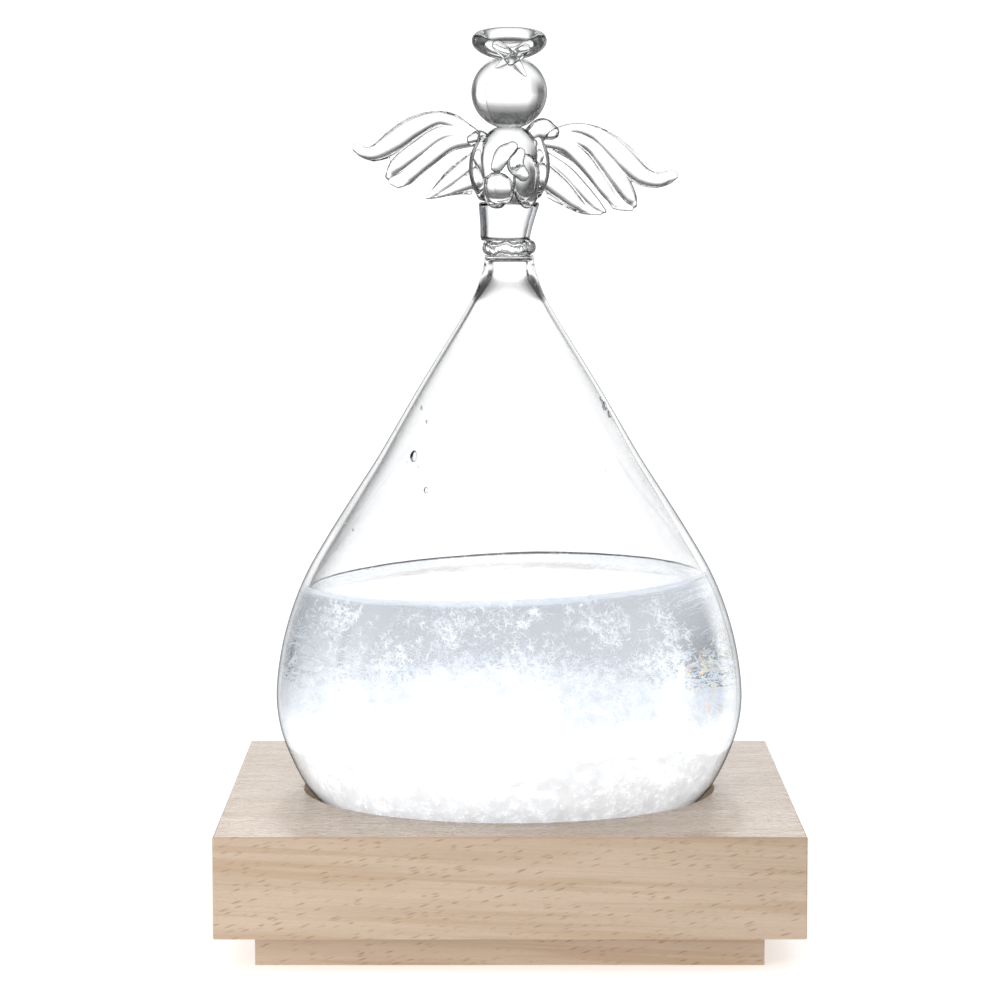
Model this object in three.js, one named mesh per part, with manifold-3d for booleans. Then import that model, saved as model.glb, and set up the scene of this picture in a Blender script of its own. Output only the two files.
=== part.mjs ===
// Storm glass: a sealed teardrop bulb of camphor solution, topped by a lampworked angel, standing in
// the round recess of a stepped beech base.
// Millimetres, +Z up, the angel faces -Y. The origin is the centre of the base's underside.
import * as THREE from "three";
import { mergeVertices } from "three/addons/utils/BufferGeometryUtils.js";
import Module from "manifold-3d";

const wasm = await Module();
wasm.setup();

// ---- driving dimensions ----

const GAP = 0.3; // left between neighbouring pieces, glued and welded ones too

const BASE_SIDE = 120;
const SLAB_HEIGHT = 21;
const PLINTH_HEIGHT = 7;
const PLINTH_INSET = 8; // the slab overhangs the plinth by this much all round
const ARRIS = 0.4; // the small bevel on the wood's edges
const RECESS_RADIUS = 44.4;
const RECESS_DEPTH = 12;
const BASE_TOP = PLINTH_HEIGHT + SLAB_HEIGHT;
const RECESS_FLOOR = BASE_TOP - RECESS_DEPTH;

const SEAT_THICKNESS = 1.4;
const SEAT_RADIUS = 34;
const SEAT_HOLE_RADIUS = 6; // clears the seal under the bulb

const SCREW_INSET = 18; // from the slab's sides to each screw
const SCREW_LENGTH = 14;
const SCREW_TIP = 3;
const SCREW_HEAD_RADIUS = 3.4;
const SCREW_HEAD_DEPTH = 2.6;
const SCREW_SHANK_RADIUS = 1.5;
const SCREW_SUNK = 0.8; // how far the head lies above the plinth's underside

const WALL = 1.6;
const FOOT_RADIUS = 24; // flat ground foot of the bulb
const FILL_HOLE_RADIUS = 3;
const FOOT_HEIGHT = RECESS_FLOOR + SEAT_THICKNESS + 2 * GAP;
const NECK_TOP = 143;
const NECK_SOLID = 1.6; // the neck is drawn together to solid glass above this depth
const CAVITY_TIP = 1; // height of the cavity's pointed end
const LIQUID_LEVEL = 73.5;
const BED_EDGE = 44; // the crystals' height at the bulb's wall
const BED_CROWN = 57; // and at the axis

// The bulb's outside from its foot to its neck: radius, height.
const BULB_OUTLINE = [
  [FOOT_RADIUS, FOOT_HEIGHT],
  [30.6, 19.5],
  [36.8, 22.6],
  [43.3, 28],
  [48.4, 38],
  [50.3, 48],
  [48.5, 61.3],
  [43.8, 74.4],
  [36.2, 87.3],
  [27.8, 100.4],
  [20.3, 113.3],
  [12.3, 126.3],
  [8.2, 133.2],
  [5.9, 139],
  [5.2, NECK_TOP],
];

const COLLAR_RADIUS = 5.9;
const COLLAR_HEIGHT = 3;
const COLLAR_BOTTOM = NECK_TOP + GAP;
const GOWN_BOTTOM = COLLAR_BOTTOM + COLLAR_HEIGHT + GAP;
const GOWN_TOP = 154.3;
const GOWN_BOTTOM_RADIUS = 5.4;
const GOWN_TOP_RADIUS = 6.5;
const GOWN_WALL = 1.5;

const TORSO_BOTTOM = GOWN_TOP + GAP;
const TORSO_TOP = 170.9;
const TORSO_RADIUS = 6.5;
const WAIST_RADIUS = 5.6;

const HEAD_RADIUS = 7.95;
const HEAD_HEIGHT = 177.7;

const HALO_OUTER_RADIUS = 8.2;
const HALO_ROD_RADIUS = 1.85;
const HALO_HEIGHT = 188.7;
const HALO_TILT = THREE.MathUtils.degToRad(13); // the front hangs lower
const HALO_END_RADIUS = 0.8;

const ARM_RADIUS = 1.7;
const HAND_LENGTH = 5.4;
const HAND_RADIUS = 1.5;

const WING_THICKNESS = 2.2;
const UPPER_WING_BACK = 5.6; // y of the upper wings' rear face
const LOWER_WING_BACK = 3;
const ROOT_DEPTH = 3.6; // y of the beads that weld the wings to the torso

// ---- materials ----

function material(color, roughness, metalness = 0, opacity = 1) {
  return new THREE.MeshStandardMaterial({
    color,
    roughness,
    metalness,
    opacity,
    transparent: opacity < 1,
  });
}

const beech = material(0xd9c3a5, 0.6);
const clearGlass = material(0xeef3f5, 0.03, 0, 0.35);
const liquid = material(0xc3ccd2, 0.05, 0, 0.45);
const camphor = material(0xf7fafb, 0.7);
const felt = material(0xe8e4dc, 0.95);
const steel = material(0xb4b6b8, 0.35, 1);

// ---- from geometry to closed solids ----

// A geometry as a closed solid, with its seams merged and the faces that collapsed at a pole left out.
function solid(geometry) {
  const bare = geometry.index ? geometry.toNonIndexed() : geometry.clone();
  bare.deleteAttribute("normal");
  bare.deleteAttribute("uv");
  const merged = mergeVertices(bare, 1e-4);
  const corners = merged.index.array;
  const kept = [];
  for (let i = 0; i < corners.length; i += 3) {
    const [a, b, c] = corners.slice(i, i + 3);
    if (a !== b && b !== c && c !== a) kept.push(a, b, c);
  }
  return new wasm.Manifold(
    new wasm.Mesh({
      numProp: 3,
      vertProperties: new Float32Array(merged.attributes.position.array),
      triVerts: new Uint32Array(kept),
    }),
  );
}

function mesh(name, shape, look) {
  const { numProp, vertProperties, triVerts } = shape.getMesh();
  const position = [];
  for (let i = 0; i < vertProperties.length; i += numProp)
    position.push(...vertProperties.subarray(i, i + 3));
  const geometry = new THREE.BufferGeometry()
    .setAttribute("position", new THREE.Float32BufferAttribute(position, 3))
    .setIndex([...triVerts])
    .toNonIndexed();
  geometry.computeVertexNormals();
  const made = new THREE.Mesh(geometry, look);
  made.name = name;
  return made;
}

// ---- shapes ----

const ROUND = 36; // facets round the bulb, the liquid and the recess
const SMALL_ROUND = 20;

// A profile of [radius, height] turned about the Z axis.
function turned(profile, facets = ROUND) {
  const points = profile.map(([radius, height]) => new THREE.Vector2(radius, height));
  return solid(new THREE.LatheGeometry(points, facets).rotateX(Math.PI / 2));
}

function board(side, bottom, top) {
  const half = side / 2 - ARRIS;
  const outline = new THREE.Shape([
    new THREE.Vector2(-half, -half),
    new THREE.Vector2(half, -half),
    new THREE.Vector2(half, half),
    new THREE.Vector2(-half, half),
  ]);
  const geometry = new THREE.ExtrudeGeometry(outline, {
    depth: top - bottom - 2 * ARRIS,
    bevelSize: ARRIS,
    bevelThickness: ARRIS,
    bevelSegments: 1,
  });
  return solid(geometry.translate(0, 0, bottom + ARRIS));
}

function ball(radius, x, y, z, stretch = [1, 1, 1], facets = SMALL_ROUND) {
  const geometry = new THREE.SphereGeometry(radius, facets, facets / 2);
  return solid(geometry.rotateX(Math.PI / 2).scale(...stretch).translate(x, y, z));
}

// A round rod along a smooth curve through the given points.
function rod(points, radius, steps = 14) {
  const sides = 10;
  const section = new THREE.Shape(new THREE.Path().absarc(0, 0, radius, 0, 2 * Math.PI).getPoints(sides));
  const extrudePath = new THREE.CatmullRomCurve3(points.map((p) => new THREE.Vector3(...p)));
  return solid(new THREE.ExtrudeGeometry(section, { steps, bevelEnabled: false, extrudePath }));
}

// A flat wing in the XZ plane, grown by clearance on every side.
function wing(outline, back, clearance = 0) {
  const edge = new THREE.SplineCurve(outline.map(([x, z]) => new THREE.Vector2(x, z)));
  const shape = new THREE.Shape(edge.getPoints(2 * outline.length));
  const geometry = new THREE.ExtrudeGeometry(shape, {
    depth: WING_THICKNESS,
    bevelSize: 0,
    bevelOffset: clearance,
    bevelThickness: clearance,
    bevelSegments: 1,
    bevelEnabled: clearance > 0,
  });
  return solid(geometry.rotateX(Math.PI / 2).translate(0, back, 0));
}

// ---- wooden base ----

const screwPlaces = [-1, 1].flatMap((sx) =>
  [-1, 1].map((sy) => [sx * (BASE_SIDE / 2 - SCREW_INSET), sy * (BASE_SIDE / 2 - SCREW_INSET)]),
);

function screw(x, y, clearance = 0) {
  const bottom = SCREW_SUNK - clearance;
  const shank = SCREW_SHANK_RADIUS + clearance;
  const profile = [
    [0, bottom],
    [SCREW_HEAD_RADIUS + clearance, bottom],
    [shank, bottom + SCREW_HEAD_DEPTH + clearance],
    [shank, SCREW_SUNK + SCREW_LENGTH - SCREW_TIP],
    [0, SCREW_SUNK + SCREW_LENGTH + clearance],
  ];
  return turned(profile, 12).translate([x, y, 0]);
}

// The mouth below a screw's head, open to the plinth's underside.
function screwMouth(x, y) {
  const radius = SCREW_HEAD_RADIUS + GAP;
  const profile = [
    [0, -1],
    [radius, -1],
    [radius, SCREW_SUNK],
    [0, SCREW_SUNK],
  ];
  return turned(profile, 12).translate([x, y, 0]);
}

function baseSlab() {
  const recess = turned([
    [0, RECESS_FLOOR],
    [RECESS_RADIUS, RECESS_FLOOR],
    [RECESS_RADIUS, BASE_TOP + 1],
    [0, BASE_TOP + 1],
  ]);
  const slab = board(BASE_SIDE, PLINTH_HEIGHT, BASE_TOP).subtract(recess);
  return screwPlaces.reduce((made, [x, y]) => made.subtract(screw(x, y, GAP)), slab);
}

function basePlinth() {
  const plinth = board(BASE_SIDE - 2 * PLINTH_INSET, 0, PLINTH_HEIGHT - GAP);
  return screwPlaces.reduce(
    (made, [x, y]) => made.subtract(screw(x, y, GAP)).subtract(screwMouth(x, y)),
    plinth,
  );
}

// A loose felt washer on the recess floor, which the bulb's foot stands on.
function seatDisc() {
  const bottom = RECESS_FLOOR + GAP;
  const top = bottom + SEAT_THICKNESS;
  return turned([
    [SEAT_HOLE_RADIUS, bottom],
    [SEAT_RADIUS, bottom],
    [SEAT_RADIUS, top],
    [SEAT_HOLE_RADIUS, top],
    [SEAT_HOLE_RADIUS, bottom],
  ]);
}

// ---- bulb and what it holds ----

const bulbCurve = new THREE.SplineCurve(BULB_OUTLINE.map(([r, z]) => new THREE.Vector2(r, z)));

// The bulb's outline moved inwards by the given distance, foot to neck.
function bulbProfile(inwards, count = 22) {
  const points = [];
  for (let i = 0; i <= count; i++) {
    const place = bulbCurve.getPoint(i / count);
    const along = bulbCurve.getTangent(i / count);
    const radius = place.x - inwards * along.y;
    const height = Math.max(place.y + inwards * along.x, FOOT_HEIGHT + inwards);
    points.push([radius, height]);
  }
  return points;
}

// The radius of the space inside the wall at a height, less the gap to what fills it.
const innerProfile = bulbProfile(WALL + GAP);
function innerRadius(height) {
  const i = innerProfile.findIndex(([, z]) => z >= height);
  const [r1, z1] = innerProfile[i];
  const [r0, z0] = innerProfile[i - 1];
  return r0 + ((r1 - r0) * (height - z0)) / (z1 - z0);
}

function bulb() {
  const outer = bulbProfile(0);
  const inner = bulbProfile(WALL).filter(([, z]) => z < NECK_TOP - NECK_SOLID);
  const cavityTop = inner.at(-1)[1] + CAVITY_TIP;
  return turned([
    [FILL_HOLE_RADIUS, FOOT_HEIGHT],
    ...outer,
    [0, NECK_TOP],
    [0, cavityTop],
    ...inner.reverse(),
    [FILL_HOLE_RADIUS, FOOT_HEIGHT + WALL],
    [FILL_HOLE_RADIUS, FOOT_HEIGHT],
  ]);
}

function fillPlug() {
  const radius = FILL_HOLE_RADIUS - GAP;
  const bottom = FOOT_HEIGHT + 0.2;
  const top = FOOT_HEIGHT + WALL - 0.1;
  return turned([[0, bottom], [radius, bottom], [radius, top], [0, top]], SMALL_ROUND);
}

// The crystals' upper face: a low mound, crown to wall.
function bedTop(clearance) {
  const edgeRadius = innerRadius(BED_EDGE);
  return [0, 0.2, 0.4, 0.6, 0.8, 1].map((share) => {
    const rise = (BED_CROWN - BED_EDGE) * 0.5 * (1 + Math.cos(Math.PI * share));
    return [edgeRadius * share, BED_EDGE + rise + clearance];
  });
}

function crystalBed() {
  const wallPoints = innerProfile.filter(([, z]) => z < BED_EDGE - 0.5);
  const top = bedTop(0).reverse();
  return turned([[0, innerProfile[0][1]], ...wallPoints, ...top]);
}

function solution() {
  const wallPoints = innerProfile.filter(([, z]) => z > BED_EDGE + 1 && z < LIQUID_LEVEL - 0.5);
  return turned([
    ...bedTop(GAP),
    ...wallPoints,
    [innerRadius(LIQUID_LEVEL), LIQUID_LEVEL],
    [0, LIQUID_LEVEL],
  ]);
}

// ---- angel ----

function neckCollar() {
  const profile = [0, 0.25, 0.5, 0.75, 1].map((share) => [
    COLLAR_RADIUS - 1.2 + 1.2 * Math.sin(Math.PI * share),
    COLLAR_BOTTOM + COLLAR_HEIGHT * share,
  ]);
  return turned([[0, COLLAR_BOTTOM], ...profile, [0, COLLAR_BOTTOM + COLLAR_HEIGHT]], SMALL_ROUND);
}

function gown() {
  return turned(
    [
      [GOWN_BOTTOM_RADIUS - GOWN_WALL, GOWN_BOTTOM],
      [GOWN_BOTTOM_RADIUS, GOWN_BOTTOM],
      [GOWN_TOP_RADIUS, GOWN_TOP],
      [GOWN_TOP_RADIUS - GOWN_WALL, GOWN_TOP],
      [GOWN_BOTTOM_RADIUS - GOWN_WALL, GOWN_BOTTOM],
    ],
    SMALL_ROUND,
  );
}

function wholeTorso() {
  const chest = new THREE.SplineCurve([
    new THREE.Vector2(WAIST_RADIUS, TORSO_BOTTOM),
    new THREE.Vector2(TORSO_RADIUS, TORSO_BOTTOM + 6),
    new THREE.Vector2(TORSO_RADIUS - 0.2, TORSO_BOTTOM + 11),
    new THREE.Vector2(4.2, TORSO_TOP - 1.3),
    new THREE.Vector2(0, TORSO_TOP),
  ]);
  const profile = chest.getPoints(10).map((p) => [p.x, p.y]);
  profile[profile.length - 1] = [0, TORSO_TOP];
  return turned([[0, TORSO_BOTTOM], ...profile], SMALL_ROUND);
}

const head = (clearance = 0) => ball(HEAD_RADIUS + clearance, 0, 0, HEAD_HEIGHT);

function haloRing(clearance = 0) {
  const ringRadius = HALO_OUTER_RADIUS - HALO_ROD_RADIUS;
  const geometry = new THREE.TorusGeometry(ringRadius, HALO_ROD_RADIUS + clearance, 10, 28);
  return solid(geometry.rotateX(HALO_TILT).translate(0, 0, HALO_HEIGHT));
}

// One end of the halo's rod, bent down across the other and pressed onto the head. side is -1 or 1,
// and y is where it starts.
function haloEnd(side, y) {
  const end = rod(
    [
      [-1.6 * side, y, 187.2],
      [0.2 * side, y - 0.8, 184.9],
      [2.4 * side, y - 0.3, 182.6],
    ],
    HALO_END_RADIUS,
    5,
  );
  return end.subtract(haloRing(GAP)).subtract(head(GAP));
}

// side is -1 for the angel's arm at -X, 1 for the one at +X.
function arm(side, radius) {
  return rod(
    [
      [6.6 * side, -1.2, 166.6],
      [7.1 * side, -3.4, 161.6],
      [5.5 * side, -5.6, 156.6],
      [3.4 * side, -7.2, 157.8],
      [2.1 * side, -7.9, 160.6],
    ],
    radius,
  );
}

function hand(side) {
  const stretch = [1, 1, HAND_LENGTH / 2 / HAND_RADIUS];
  return ball(HAND_RADIUS, 1.8 * side, -8, 164.2, stretch, 12);
}

const LEFT_UPPER_WING = [
  [-7.4, 170],
  [-11.2, 173],
  [-15, 173.8],
  [-20.2, 173],
  [-25.3, 170.1],
  [-30, 165.9],
  [-32.6, 167.2],
  [-33.7, 166.5],
  [-32.4, 164.2],
  [-28.8, 162.9],
  [-25.3, 163.6],
  [-26.2, 158.9],
  [-22.4, 157.4],
  [-15.1, 163.5],
  [-11.2, 166.2],
  [-7.6, 166.7],
];

const LEFT_LOWER_WING = [
  [-8.4, 164.8],
  [-13, 161.4],
  [-16.8, 156.7],
  [-17.6, 154.9],
  [-11.2, 155.9],
  [-8, 155.9],
];

const RIGHT_UPPER_WING = [
  [8.4, 168.6],
  [12.8, 170.9],
  [15.9, 171],
  [19.5, 170.3],
  [23.1, 168.5],
  [26.7, 165.6],
  [31.6, 160.8],
  [34.9, 161.2],
  [36.4, 160.2],
  [34.9, 158.3],
  [31.8, 157.3],
  [29.3, 157.8],
  [25.8, 159.7],
  [27.4, 152.9],
  [22.7, 152.7],
  [21.4, 154.2],
  [17.9, 159],
  [13.3, 163.1],
  [8.2, 165.9],
];

const RIGHT_LOWER_WING = [
  [8.2, 165.2],
  [13.4, 160.6],
  [20.8, 152.6],
  [16.9, 151.6],
  [13.3, 152.6],
  [8, 155.3],
];

// A bead of glass that welds a wing to the torso.
function wingRoot(x, z, radius, outline) {
  return ball(radius, x, ROOT_DEPTH, z, [1.25, 0.9, 1], 14)
    .subtract(wing(outline, UPPER_WING_BACK, GAP))
    .subtract(torso)
    .subtract(head(GAP));
}

const leftArm = arm(-1, ARM_RADIUS);
const rightArm = arm(1, ARM_RADIUS);
const torso = wholeTorso()
  .subtract(head(GAP))
  .subtract(arm(-1, ARM_RADIUS + GAP))
  .subtract(arm(1, ARM_RADIUS + GAP));

// ---- assembly ----

const base = new THREE.Group();
base.add(mesh("base_slab", baseSlab(), beech));
base.add(mesh("base_plinth", basePlinth(), beech));
screwPlaces.forEach(([x, y], i) => base.add(mesh(`plinth_screw_${i + 1}`, screw(x, y), steel)));

const seat = new THREE.Group();
seat.add(mesh("seat_disc", seatDisc(), felt));

const glass = new THREE.Group();
glass.add(mesh("bulb", bulb(), clearGlass));
glass.add(mesh("fill_plug", fillPlug(), clearGlass));
glass.add(mesh("solution", solution(), liquid));
glass.add(mesh("crystal_bed", crystalBed(), camphor));

const angel = new THREE.Group();
angel.add(mesh("neck_collar", neckCollar(), clearGlass));
angel.add(mesh("gown", gown(), clearGlass));
angel.add(mesh("torso", torso, clearGlass));
angel.add(mesh("head", head(), clearGlass));
angel.add(mesh("halo_ring", haloRing(), clearGlass));
angel.add(mesh("halo_end_left", haloEnd(-1, -6.6), clearGlass));
angel.add(mesh("halo_end_right", haloEnd(1, -8.5), clearGlass));
angel.add(mesh("left_arm", leftArm, clearGlass));
angel.add(mesh("right_arm", rightArm, clearGlass));
angel.add(mesh("left_hand", hand(-1), clearGlass));
angel.add(mesh("right_hand", hand(1), clearGlass));
angel.add(mesh("left_upper_wing", wing(LEFT_UPPER_WING, UPPER_WING_BACK), clearGlass));
angel.add(mesh("left_lower_wing", wing(LEFT_LOWER_WING, LOWER_WING_BACK), clearGlass));
angel.add(mesh("right_upper_wing", wing(RIGHT_UPPER_WING, UPPER_WING_BACK), clearGlass));
angel.add(mesh("right_lower_wing", wing(RIGHT_LOWER_WING, LOWER_WING_BACK), clearGlass));
angel.add(mesh("left_wing_root", wingRoot(-7.2, 168, 2.3, LEFT_UPPER_WING), clearGlass));
angel.add(mesh("right_wing_root", wingRoot(8, 169, 2.5, RIGHT_UPPER_WING), clearGlass));
glass.add(angel);

const stormGlass = new THREE.Group();
stormGlass.add(base, seat, glass);

export default stormGlass;
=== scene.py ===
"""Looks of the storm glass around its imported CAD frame. Metres, +Z up, the angel faces -Y."""

import math

import bpy
import numpy as np
from mathutils import Matrix, Vector, noise


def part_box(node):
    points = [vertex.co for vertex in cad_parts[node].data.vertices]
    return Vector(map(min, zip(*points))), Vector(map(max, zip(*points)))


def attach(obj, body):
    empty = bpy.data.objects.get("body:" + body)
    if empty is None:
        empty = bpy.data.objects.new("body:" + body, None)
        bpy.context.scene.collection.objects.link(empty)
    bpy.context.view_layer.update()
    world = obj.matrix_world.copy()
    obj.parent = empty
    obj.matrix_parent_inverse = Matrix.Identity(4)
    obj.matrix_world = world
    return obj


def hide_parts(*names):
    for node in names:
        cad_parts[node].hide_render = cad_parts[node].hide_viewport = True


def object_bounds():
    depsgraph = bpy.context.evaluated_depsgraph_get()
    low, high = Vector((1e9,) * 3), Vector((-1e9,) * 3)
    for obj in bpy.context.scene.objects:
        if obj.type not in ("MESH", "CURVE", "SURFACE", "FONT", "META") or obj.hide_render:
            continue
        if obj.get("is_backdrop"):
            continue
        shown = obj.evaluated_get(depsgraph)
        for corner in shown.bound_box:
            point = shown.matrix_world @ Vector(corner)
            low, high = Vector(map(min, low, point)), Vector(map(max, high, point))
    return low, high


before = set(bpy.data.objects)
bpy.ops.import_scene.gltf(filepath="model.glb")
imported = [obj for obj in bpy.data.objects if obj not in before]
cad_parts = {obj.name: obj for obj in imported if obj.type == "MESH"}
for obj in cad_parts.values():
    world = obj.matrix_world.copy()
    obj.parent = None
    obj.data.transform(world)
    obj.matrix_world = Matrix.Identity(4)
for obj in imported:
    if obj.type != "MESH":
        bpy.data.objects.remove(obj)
cad_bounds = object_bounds()

MM = 0.001


# ---- camera, fitted to the corners of the base ----

CAMERA_PLACE = (-2.5 * MM, -800 * MM, 169.2 * MM)
CAMERA_DOWN = math.radians(5.64)
CAMERA_TURN = -0.0008
CAMERA_LENS = 134.05
CAMERA_SENSOR = 36


def make_camera():
    data = bpy.data.cameras.new("camera")
    data.sensor_width = CAMERA_SENSOR
    data.lens = CAMERA_LENS
    data.clip_start = 0.01
    camera = bpy.data.objects.new("camera", data)
    camera.location = CAMERA_PLACE
    camera.rotation_euler = (math.pi / 2 - CAMERA_DOWN, 0, CAMERA_TURN)
    bpy.context.scene.collection.objects.link(camera)
    bpy.context.scene.camera = camera


make_camera()


# ---- places, from the frame ----

slab_low, slab_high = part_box("base_slab")
plinth_low, plinth_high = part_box("base_plinth")
seat_low, seat_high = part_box("seat_disc")
bulb_low, bulb_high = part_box("bulb")
bed_low, bed_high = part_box("crystal_bed")
collar_low, collar_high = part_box("neck_collar")
gown_low, gown_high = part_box("gown")
torso_low, torso_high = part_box("torso")
head_low, head_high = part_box("head")
halo_low, halo_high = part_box("halo_ring")

BASE_TOP = slab_high.z
FOOT = bulb_low.z
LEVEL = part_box("solution")[1].z
LEVEL_TILT = math.radians(2.0)
BED_RIM = bed_low.z + 0.58 * (bed_high.z - bed_low.z)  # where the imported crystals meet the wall
BED_CROWN = bed_high.z - 6 * MM
HEAD_CENTRE = (head_low + head_high) / 2
HEAD_RADIUS = (head_high.x - head_low.x) / 2


def level_at(x):
    """Height of the liquid's top, which climbs a little towards +X."""
    return LEVEL + x * math.tan(LEVEL_TILT)


def wall_rings(node, outwards):
    """Radius and height of each ring of a turned node's outer or inner wall, from the foot up."""
    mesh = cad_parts[node].data
    rings = set()
    for face in mesh.polygons:
        radial = Vector((face.center.x, face.center.y, 0))
        if radial.length < 0.5 * MM:
            continue
        lean = face.normal.dot(radial.normalized())
        if (lean if outwards else -lean) < 0.15:
            continue
        for i in face.vertices:
            place = mesh.vertices[i].co
            rings.add((round(math.hypot(place.x, place.y), 5), round(place.z, 5)))
    return sorted(rings, key=lambda ring: ring[1])


# ---- mesh helpers ----


def new_object(name, verts, faces, smooth=True):
    mesh = bpy.data.meshes.new(name)
    mesh.from_pydata([tuple(v) for v in verts], [], [tuple(f) for f in faces])
    mesh.validate()
    mesh.update()
    if smooth:
        mesh.shade_smooth()
    made = bpy.data.objects.new(name, mesh)
    bpy.context.scene.collection.objects.link(made)
    return made


def finish_piece(piece, body, slot, material, *nodes):
    """Gives a piece its material and body, and hides the CAD parts that it stands for."""
    piece.data.materials.clear()
    piece.data.materials.append(material)
    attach(piece, body)
    if nodes:
        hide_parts(*nodes)


def apply_modifiers(piece):
    bpy.context.view_layer.update()
    shaped = piece.evaluated_get(bpy.context.evaluated_depsgraph_get())
    mesh = bpy.data.meshes.new_from_object(shaped)
    piece.modifiers.clear()
    piece.data = mesh
    return piece


def catmull(points, count):
    """Points spread along a smooth curve through the given ones."""
    given = np.array(points, float)
    padded = np.vstack([2 * given[0] - given[1], given, 2 * given[-1] - given[-2]])
    made = []
    for at in np.linspace(0, len(given) - 1, count):
        i = min(int(at), len(given) - 2)
        t = at - i
        a, b, c, d = padded[i : i + 4]
        twice = 2 * b + (c - a) * t
        twice += (2 * a - 5 * b + 4 * c - d) * t**2
        twice += (3 * b - a - 3 * c + d) * t**3
        made.append(0.5 * twice)
    return np.array(made)


def lathe(name, profile, segments=160):
    """A closed profile of (radius, height) turned about Z. Points on the axis become one vertex each."""
    verts, rings = [], []
    for radius, height in profile:
        if radius < 1e-6:
            rings.append([len(verts)] * segments)
            verts.append((0, 0, height))
            continue
        rings.append(list(range(len(verts), len(verts) + segments)))
        for k in range(segments):
            angle = 2 * math.pi * k / segments
            verts.append((radius * math.cos(angle), radius * math.sin(angle), height))
    faces = []
    for low, high in zip(rings, rings[1:]):
        for k in range(segments):
            n = (k + 1) % segments
            corners = list(dict.fromkeys([low[k], low[n], high[n], high[k]]))
            if len(corners) > 2:
                faces.append(corners)
    return new_object(name, verts, faces)


LIMB_SIDES = 20
LIMB_CAP_ANGLES = (15, 35, 55, 75)


def limb_mesh(spine, radii, depth_share=1.0, steps=28, depth_axis=(0, 1, 0)):
    """Vertices and faces of a closed rod of changing radius along a smooth spine, with round ends. Its
    section is squeezed along depth_axis to depth_share of its width."""
    line = catmull(spine, steps)
    size = catmull(np.array(radii, float)[:, None], steps)[:, 0]
    tangents = np.gradient(line, axis=0)
    tangents /= np.linalg.norm(tangents, axis=1)[:, None]
    deep = np.array(depth_axis, float)
    verts, rings = [], []

    def ring(centre, tangent, radius):
        across = np.cross(tangent, deep)
        across /= np.linalg.norm(across)
        inward = np.cross(across, tangent)
        rings.append(range(len(verts), len(verts) + LIMB_SIDES))
        for k in range(LIMB_SIDES):
            angle = 2 * math.pi * k / LIMB_SIDES
            aside = math.cos(angle) * across + depth_share * math.sin(angle) * inward
            verts.append(centre + radius * aside)

    for angle in reversed(LIMB_CAP_ANGLES):
        a = math.radians(angle)
        ring(line[0] - tangents[0] * size[0] * math.sin(a), tangents[0], size[0] * math.cos(a))
    for centre, tangent, radius in zip(line, tangents, size):
        ring(centre, tangent, max(radius, 0.05 * MM))
    for angle in LIMB_CAP_ANGLES:
        a = math.radians(angle)
        ring(line[-1] + tangents[-1] * size[-1] * math.sin(a), tangents[-1], size[-1] * math.cos(a))
    faces = []
    for low, high in zip(rings, rings[1:]):
        for k in range(LIMB_SIDES):
            n = (k + 1) % LIMB_SIDES
            faces.append((low[k], low[n], high[n], high[k]))
    faces += [tuple(reversed(rings[0])), tuple(rings[-1])]
    return verts, faces


def joined(name, parts):
    verts, faces = [], []
    for part_verts, part_faces in parts:
        start = len(verts)
        verts += [tuple(v) for v in part_verts]
        faces += [tuple(start + i for i in face) for face in part_faces]
    return new_object(name, verts, faces)


def melted(name, parts, voxel=0.25 * MM, passes=6):
    """Parts run together into one smooth skin, as glass does in the flame."""
    piece = joined(name, parts)
    remesh = piece.modifiers.new("melt", "REMESH")
    remesh.mode = "VOXEL"
    remesh.voxel_size = voxel
    remesh.use_smooth_shade = True
    soften = piece.modifiers.new("soften", "SMOOTH")
    soften.factor = 0.5
    soften.iterations = passes
    return apply_modifiers(piece)


def ball_mesh(centre, radius, stretch=(1, 1, 1), rings=24, sides=40):
    verts, faces = [], []
    for i in range(1, rings):
        polar = math.pi * i / rings
        for k in range(sides):
            angle = 2 * math.pi * k / sides
            unit = (
                math.sin(polar) * math.cos(angle),
                math.sin(polar) * math.sin(angle),
                math.cos(polar),
            )
            verts.append([c + radius * s * u for c, s, u in zip(centre, stretch, unit)])
    for i in range(rings - 2):
        for k in range(sides):
            n = (k + 1) % sides
            faces.append((i * sides + k, (i + 1) * sides + k, (i + 1) * sides + n, i * sides + n))
    top, bottom = len(verts), len(verts) + 1
    verts.append([centre[0], centre[1], centre[2] + radius * stretch[2]])
    verts.append([centre[0], centre[1], centre[2] - radius * stretch[2]])
    last = (rings - 2) * sides
    for k in range(sides):
        n = (k + 1) % sides
        faces.append((top, k, n))
        faces.append((bottom, last + n, last + k))
    return verts, faces


# ---- materials ----

GLASS_IOR = 1.47
LIQUID_IOR = 1.365
CLEAR = (0.988, 0.99, 0.993)


def new_material(name):
    material = bpy.data.materials.new(name)
    material.use_nodes = True
    material.node_tree.nodes.clear()
    return material, material.node_tree


def add(tree, kind, inputs=None, **settings):
    """A node with its settings, and its inputs set to values or linked to sockets."""
    node = tree.nodes.new(kind)
    for key, value in settings.items():
        setattr(node, key, value)
    for key, value in (inputs or {}).items():
        if isinstance(value, bpy.types.NodeSocket):
            tree.links.new(value, node.inputs[key])
        else:
            node.inputs[key].default_value = value
    return node


def ramp(tree, factor, stops):
    node = add(tree, "ShaderNodeValToRGB", {"Fac": factor})
    elements = node.color_ramp.elements
    while len(elements) < len(stops):
        elements.new(0.5)
    for element, (place, color) in zip(elements, stops):
        element.position = place
        element.color = (*color, 1)
    return node.outputs["Color"]


def place_mm(tree, scale=(1, 1, 1)):
    """Object coordinates in millimetres, scaled."""
    coords = add(tree, "ShaderNodeTexCoord").outputs["Object"]
    inputs = {"Vector": coords, "Scale": [1000 * s for s in scale]}
    return add(tree, "ShaderNodeMapping", inputs).outputs["Vector"]


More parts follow.
